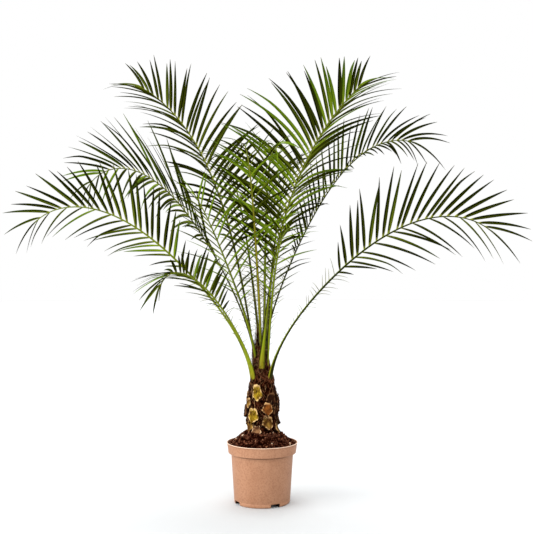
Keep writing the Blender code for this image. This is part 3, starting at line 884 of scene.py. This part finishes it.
def make_bases():
    """The cut leaf bases, with a paint for each of their colours."""
    paints = [
        cut_paint("base_olive", (0.37, 0.245, 0.016), (0.090, 0.044, 0.003), (0.85, 0.56, 0.24)),
        cut_paint("base_tan", (0.25, 0.135, 0.026), (0.055, 0.021, 0.004), (0.72, 0.44, 0.19)),
        cut_paint("base_rust", (0.24, 0.075, 0.013), (0.048, 0.012, 0.003), (0.60, 0.34, 0.14)),
        cut_paint("base_pink", (0.26, 0.13, 0.055), (0.050, 0.018, 0.008), (0.75, 0.48, 0.27)),
        # base_dark is painted shade on the bases at the trunk's sides, and a random darker tone on others
        cut_paint("base_dark", (0.032, 0.010, 0.004), (0.006, 0.0018, 0.0009), (0.16, 0.075, 0.032)),
    ]
    chance = random.Random(11)
    shape = Shape()
    for number in range(STUBS):
        add_base(shape, number, chance)
    shape.finish("trunk_bases", paints, "trunk_bark", ["trunk"])


def wander(chance, bearing, up, tall, lean, out_at, proud, steps=7):
    """A thread's path up a round surface, leaning by so many degrees round it over its height."""
    path = []
    phase = chance.uniform(0, 9)
    for step in range(steps + 1):
        share = step / steps
        level = up + tall * share
        away = proud * sin(share * pi * 0.5) ** 2 + 0.0008 * sin(phase + share * 7)
        round_to = bearing + lean * share + 1.5 * sin(phase + share * 5)
        path.append(radial(round_to, out_at(level) + away, level))
    return path


def make_trunk_threads(paints):
    """Loose fibre between the leaf bases, frayed outwards here and there."""
    chance = random.Random(23)
    shape = Shape()
    kind = TRUNK_THREADS
    for number in range(kind.count):
        up = chance.uniform(TRUNK_FOOT, TRUNK_TOP - 0.012)
        bearing = chance.uniform(0, 360)
        tall = min(chance.uniform(*kind.tall), TRUNK_TOP - up + 0.004)
        proud = chance.choice(kind.proud)
        lean = chance.uniform(*kind.lean)
        path = wander(chance, bearing, up, tall, lean, core_radius, proud)
        path = [point + Vector((point.x, point.y, 0)).normalized() * THREAD_LIFT for point in path]
        shape.thread(path, chance.uniform(*kind.half), chance.choice(kind.paints))
    for number in range(TUFT_THREADS):
        up = TUFT_UP + chance.uniform(-0.012, 0.006)
        bearing = TUFT_BEARING + chance.uniform(-9, 9)
        tall = chance.uniform(0.008, 0.016)
        path = wander(chance, bearing, up, tall, chance.uniform(-6, 6), core_radius, TUFT_PROUD)
        shape.thread(path, TUFT_HALF, chance.choice((0, 0, 1)))
    shape.finish("trunk_threads", paints, "trunk_bark")


def sheath_radius(up):
    return between(SHEATH_OUTLINE, up)


def sheath_relief(point, up):
    return SHEATH_LUMP_UP * rough(point, SHEATH_LUMP_SIZE)


def leaned(path):
    """Points of the fibre, moved with the column as it leans to the left above its shoulder."""
    ways = [min(max((point.z - LEAN_FROM) / LEAN_OVER, 0), 1) for point in path]
    return [point + Vector((-COLUMN_LEAN * way, 0, 0)) for point, way in zip(path, ways)]


def make_sheath(fibre_mat):
    """The woven fibre round the feet of the fronds."""
    rings = upright_rings(sheath_radius, SHEATH_FOOT, SHEATH_HIGH, SHEATH_LEVELS, SHEATH_STEPS, sheath_relief)
    shape = lofted([leaned(ring) for ring in rings])
    shape.finish("sheath_mat", [fibre_mat], "sheath_fibre", ["fibre_sheath"])


def make_sheath_threads(paints):
    """The threads that cross the sheath and fray at its top, and those that stand in its heart."""
    chance = random.Random(31)
    shape = Shape()
    kind = SHEATH_THREADS
    for number in range(kind.count):
        up = chance.uniform(*SHEATH_THREADS_UP)
        tall = chance.uniform(*kind.tall)
        lean = chance.choice((-1, 1)) * chance.uniform(*kind.lean)
        proud = chance.choice(kind.proud)
        path = wander(chance, chance.uniform(0, 360), up, tall, lean, sheath_radius, proud, 8)
        shape.thread(leaned(path), chance.uniform(*kind.half), chance.choice(kind.paints))
    kind = HEART_THREADS
    for number in range(kind.count):
        path = []
        bearing = chance.uniform(0, 360)
        out = chance.uniform(*HEART_OUT)
        low = chance.uniform(*HEART_UP)
        tall = chance.uniform(*kind.tall)
        phase = chance.uniform(0, 9)
        for step in range(9):
            share = step / 8
            sway = kind.lean * sin(phase + share * 5)
            path.append(radial(bearing + sway, out + kind.proud * share ** 1.5, low + tall * share))
        shape.thread(leaned(path), chance.uniform(*kind.half), chance.choice(kind.paints))
    shape.finish("sheath_threads", paints, "sheath_fibre")


def stem_stations(frond):
    """The stem's points and directions, from its foot to its tip."""
    stations = []
    point = radial(frond.bearing, frond.ring.out, frond.ring.up)
    before = None
    for step in range(STEM_STEPS + 1):
        share = step / STEM_STEPS
        flare = (frond.spread - FOOT_LEAN) * (1 - exp(-FLARE * share))
        lean = radians(FOOT_LEAN + flare + (frond.tip - frond.spread) * share ** frond.bend)
        heading = frond.heading + frond.turn * share ** 2
        along = radial(heading, sin(lean), cos(lean))
        if before:
            point = point + (along + before) * (frond.long / STEM_STEPS / 2)
        before = along
        upper = radial(heading, -cos(lean), sin(lean))
        past_foot = max(share * frond.long - FOOT_HOLD, 0)
        facing = (frond.bearing - frond.heading) * exp(-past_foot / FOOT_TURN)
        roll = facing - frond.roll * min(share / ROLLED_BY, 1)
        upper = Matrix.Rotation(radians(roll), 3, along) @ upper
        stations.append(Station(point.copy(), along, upper, along.cross(upper)))
    return stations


def station_at(stations, share):
    """The stem's point and directions at a share of its length."""
    place = min(max(share, 0), 0.9999) * STEM_STEPS
    low = int(place)
    mixed = [first.lerp(second, place - low) for first, second in zip(stations[low], stations[low + 1])]
    return Station(mixed[0], *(direction.normalized() for direction in mixed[1:]))


def stem_halves(frond, share):
    """Half the stem's width and half its depth."""
    thin = 1 - RIB_THINNING * share
    fade = exp(-share * frond.long / FOOT_FADE)
    wide = RIB_HALF_WIDE * thin + (frond.ring.half_wide - RIB_HALF_WIDE) * fade
    deep = RIB_HALF_DEEP * thin + (frond.ring.half_deep - RIB_HALF_DEEP) * fade
    return wide, deep


def surface(rings):
    """The skin through rings, to test whether others touch it."""
    shape = lofted(rings)
    return BVHTree.FromPolygons(shape.points, shape.faces)


def make_stem(frond, stations, paint):
    """The petiole and rib: flatter above, round below. Returns its surface."""
    turns = [tau * side / STEM_SIDES for side in range(STEM_SIDES)]
    section = [(cos(turn), sin(turn) * (STEM_FLAT if sin(turn) > 0 else 1)) for turn in turns]
    rings = []
    for step, station in enumerate(stations):
        wide, deep = stem_halves(frond, step / STEM_STEPS)
        middle = station.point
        rings.append([middle - station.across * (wide * x) + station.up * (deep * y) for x, y in section])
    lofted(rings).finish(f"frond_{frond.name}_stem", [paint], "frond_green", [f"frond_{frond.name}"])
    return surface(rings)


def way_out(station, side, slant, vee):
    """The direction in which a blade leaves the rib on a side, by its angles in degrees."""
    slant = radians(slant)
    vee = radians(vee)
    outward = station.across * (side * cos(vee)) + station.up * sin(vee)
    return station.along * cos(slant) + outward * sin(slant)


def make_spines(frond, stations, number, paint):
    """The lowest leaflets, hardened to thin spines, on both edges of the petiole."""
    chance = random.Random(100 + number)
    shape = Shape()
    reach = frond.ring.bare - SPINE_FROM
    count = int(frond.long * reach / SPINE_PITCH)
    for side in (-1, 1):
        for place in range(count):
            way = (place + chance.uniform(0.2, 0.8)) / count
            share = SPINE_FROM + reach * way
            station = station_at(stations, share)
            outward = way_out(station, side, chance.uniform(*SPINE_SLANT), chance.uniform(*SPINE_VEE))
            length = (SPINE_LONG + SPINE_LONGER * way) * chance.uniform(*SPINE_SPREAD)
            root = station.point + station.across * (side * stem_halves(frond, share)[0] * 0.75)
            path = [root + (outward * s + DOWN * (SPINE_DROOP * s * s)) * length for s in (0, 0.3, 0.65, 1)]
            shape.thread(path, SPINE_HALF + SPINE_HALF * way)
    shape.finish(f"frond_{frond.name}_spines", [paint], "frond_green")


def leaf_length(frond, way):
    """A leaflet's length by how far along the blade it grows."""
    rise = 1 - (1 - FIRST_LEAF_SHARE) * exp(-way / LEAF_RISE)
    fall = max(0, (way - LONGEST_AT) / (1 - LONGEST_AT)) ** LEAF_FALL
    return rise * (frond.leaf + (frond.last - frond.leaf) * fall)


def draw_leaf(frond, chance, place, side):
    """One leaflet's place on the rib, its angles and its length, by the source's rule."""
    stray = chance.uniform(-PLACE_STRAY, PLACE_STRAY)
    way = min(max((place + 0.5 + STAGGER * side + stray) / frond.row, 0), 1)
    share = frond.ring.bare + (BLADE_END - frond.ring.bare) * way
    closed = frond.slant * (1 - SLANT_CLOSES * way ** CLOSING_CURVE)
    slant = closed + frond.loose * chance.uniform(-SLANT_STRAY, SLANT_STRAY)
    vee = frond.vee + frond.loose * chance.uniform(-VEE_STRAY, VEE_STRAY)
    return Leaf(share, side, slant, vee, leaf_length(frond, way) * chance.uniform(*LENGTH_SPREAD))


def leaf_rings(frond, station, outward, leaf, chance):
    """The rings of a folded blade that narrows to a fine tip, droops, curls a little and turns on itself."""
    sink = DOWN + outward * outward.z
    flat = station.along if leaf.side else station.across
    wide = (flat - outward * outward.dot(flat)).normalized()
    hang = max(HANG_BELOW - outward.z, 0) if frond.long > LONG_FROND else 0
    droop = (frond.droop + HANG_DROOP * hang) * chance.uniform(*DROOP_SPREAD)
    curl = chance.uniform(-CURL, CURL)
    kink = chance.uniform(*KINK) if chance.random() < KINK_CHANCE * frond.loose else 0
    twist = chance.uniform(-TWIST, TWIST)
    fullness = SHORT_LEAF_WIDTH + (1 - SHORT_LEAF_WIDTH) * min(leaf.length / FULL_WIDTH_FROM, 1)
    half = LEAF_HALF_WIDE * frond.wide * chance.uniform(*WIDTH_SPREAD) * fullness * (1 - HANG_NARROW * hang)
    wide_side = wide if leaf.side > 0 else -wide
    rings = []
    for share in LEAF_WAYS:
        bend = outward * share + sink * (droop * share ** 2) + wide * (curl * share ** 2)
        bend += sink * (kink * max(share - KINK_FROM, 0) ** 1.3)
        centre = station.point + bend * leaf.length
        swell = ROOT_WIDTH + (1 - ROOT_WIDTH) * sin(min(share / LEAF_WIDEST, 1) * pi / 2)
        past = max(share - LEAF_WIDEST, 0) / (1 - LEAF_WIDEST)
        size = half * swell * max(1 - past ** NARROWING, TIP_SHARE) ** TIP_CURVE
        side = Matrix.Rotation(radians(twist * share), 3, outward) @ wide_side
        up = outward.cross(side)
        fold = ROOT_FOLD - FOLD_OPENS * min(share / OPEN_FROM, 1)
        section = ((0, -BLADE_THIN), (1, fold), (0, BLADE_THIN), (-1, fold))
        rings.append([centre + (side * x + up * y) * size for x, y in section])
    return rings


def make_leaflets(frond, stations, number, placed, others, paints):
    """A frond's leaflets, and one at its end. Past its root each is clear of the other fronds' stems and of
    all leaflets placed before it, and one that finds no clear way in a few attempts is left out."""
    chance = random.Random(500 + number)
    shape = Shape()
    jobs = [(place, side) for side in (-1, 1) for place in range(frond.row)] + [(frond.row, 0)]
    for place, side in jobs:
        for attempt in range(ATTEMPTS):
            leaf = draw_leaf(frond, chance, place, side)
            if side == 0:
                leaf = Leaf(BLADE_END, 0, 0, 0, frond.last)
            station = station_at(stations, leaf.share)
            outward = way_out(station, side, leaf.slant, leaf.vee).normalized()
            if side and place % 2 and frond.long > LONG_FROND and outward.z < THINNED_BELOW:
                break
            if attempt >= SHORTENED_FROM:
                leaf = leaf._replace(length=leaf.length * SHORTENED)
            rings = leaf_rings(frond, station, outward, leaf, chance)
            blade = surface(rings[ROOT_RINGS:])
            if not any(blade.overlap(other) for other in placed + others):
                placed.append(blade)
                across = (0.5, 1, 0.5, 0) if side > 0 else (0.5, 0, 0.5, 1)
                shape.loft(rings, chance.choices((0, 1, 2), frond.greens)[0], across, LEAF_WAYS)
                break
    shape.finish(f"frond_{frond.name}_leaflets", paints, "frond_green", [f"frond_{frond.name}"])


def make_greens():
    """The leaflets' paints: deep, fresh and bright green."""
    return [
        leaf_paint("leaf_deep", (0.0012, 0.002, 0.0002), (0.0038, 0.0062, 0.0004), (0.058, 0.07, 0.004), 0.0),
        leaf_paint("leaf_fresh", (0.0038, 0.008, 0.0003), (0.016, 0.03, 0.001), (0.14, 0.17, 0.008), 0.01),
        leaf_paint("leaf_bright", (0.026, 0.06, 0.0008), (0.082, 0.158, 0.003), (0.23, 0.31, 0.012), 0.03),
    ]


def make_stem_paints():
    """The stems' paints, in the order of their numbers."""
    lit = (
        (0.0, (0.22, 0.18, 0.008)), (0.08, (0.17, 0.21, 0.006)),
        (0.45, (0.12, 0.16, 0.006)), (1.0, (0.15, 0.20, 0.02)),
    )
    dim = (
        (0.0, (0.09, 0.08, 0.006)), (0.30, (0.024, 0.030, 0.002)),
        (0.60, (0.07, 0.09, 0.006)), (1.0, (0.14, 0.18, 0.02)),
    )
    gold = (
        (0.08, (0.17, 0.20, 0.006)), (0.22, (0.21, 0.18, 0.010)),
        (0.60, (0.16, 0.15, 0.008)), (1.0, (0.15, 0.20, 0.02)),
    )
    bright = (0.38, 0.42, 0.028)
    # stem_shaded is a darker copy in painted shade, and each paint's dark band is painted shade
    return [
        stem_paint("stem_lit", lit, bright, (0.004, 0.006, 0.0005), 0, 0.25, 0.095),
        stem_paint("stem_shaded", dim, (0.16, 0.18, 0.012), (0.002, 0.003, 0.0003), 0, 0.25, 0.115),
        stem_paint("stem_shaded_above", lit, bright, (0.008, 0.011, 0.001), 0.25, 0.5, 0.10),
        stem_paint("stem_shaded_below", lit, bright, (0.008, 0.011, 0.001), 0.75, 0.5, 0.13),
        stem_paint("stem_gold", gold, (0.33, 0.30, 0.025), (0.012, 0.006, 0.0005), 0, 0.25, 0.080),
    ]


def make_fronds():
    """Every frond's stem, and then its spines and leaflets."""
    greens = make_greens()
    stem_paints = make_stem_paints()
    stations = [stem_stations(frond) for frond in FRONDS]
    stems = [make_stem(frond, each, stem_paints[frond.stem]) for frond, each in zip(FRONDS, stations)]
    spine = thread_paint("spine", (0.05, 0.06, 0.008), (0.22, 0.22, 0.08))
    placed = []
    for number, frond in enumerate(FRONDS):
        others = stems[:number] + stems[number + 1:]
        make_spines(frond, stations[number], number, spine)
        make_leaflets(frond, stations[number], number, placed, others, greens)


def make_stage():
    """A pale floor, a white surround, and soft lights from the left, from above and from the front."""
    bm = bmesh.new()
    bmesh.ops.create_circle(bm, cap_ends=True, segments=64, radius=FLOOR_RADIUS)
    mesh = bpy.data.meshes.new("floor")
    bm.to_mesh(mesh)
    bm.free()
    mesh.materials.append(floor_paint())
    stand("floor", mesh)
    world = bpy.data.worlds.new("studio")
    world.use_nodes = True
    world.node_tree.nodes["Background"].inputs["Color"].default_value = (1, 1, 1, 1)
    world.node_tree.nodes["Background"].inputs["Strength"].default_value = 1.0
    bpy.context.scene.world = world
    for light in LIGHTS:
        sun = bpy.data.lights.new(light.name, "SUN")
        sun.energy = light.strength
        sun.angle = radians(light.soft)
        lamp = stand(light.name, sun)
        towards = radial(light.bearing, 1, tan(radians(light.up)))
        lamp.rotation_euler = towards.to_track_quat("Z", "Y").to_euler()


def make_camera():
    """A level camera at the photograph's place."""
    lens = bpy.data.cameras.new("photo_view")
    lens.lens = CAMERA_LENS
    camera = stand("photo_view", lens)
    camera.location = CAMERA_AT
    camera.rotation_euler = (radians(90), 0, 0)
    bpy.context.scene.camera = camera
    bpy.context.scene.view_settings.view_transform = "Standard"


fibre_mat = earth_paint("fibre_mat", (0.0015, 0.0002, 0.0001), (0.010, 0.0016, 0.0004), (0.080, 0.021, 0.008))
threads = [
    thread_paint("thread_dark", (0.0018, 0.0003, 0.0001), (0.011, 0.0018, 0.0005)),
    thread_paint("thread_red", (0.040, 0.008, 0.003), (0.26, 0.095, 0.044)),
    thread_paint("thread_straw", (0.15, 0.085, 0.030), (0.42, 0.26, 0.13)),
]
make_pot()
make_soil()
make_core(fibre_mat)
make_bases()
make_trunk_threads(threads)
make_sheath(fibre_mat)
make_sheath_threads(threads)
make_fronds()
make_stage()
make_camera()
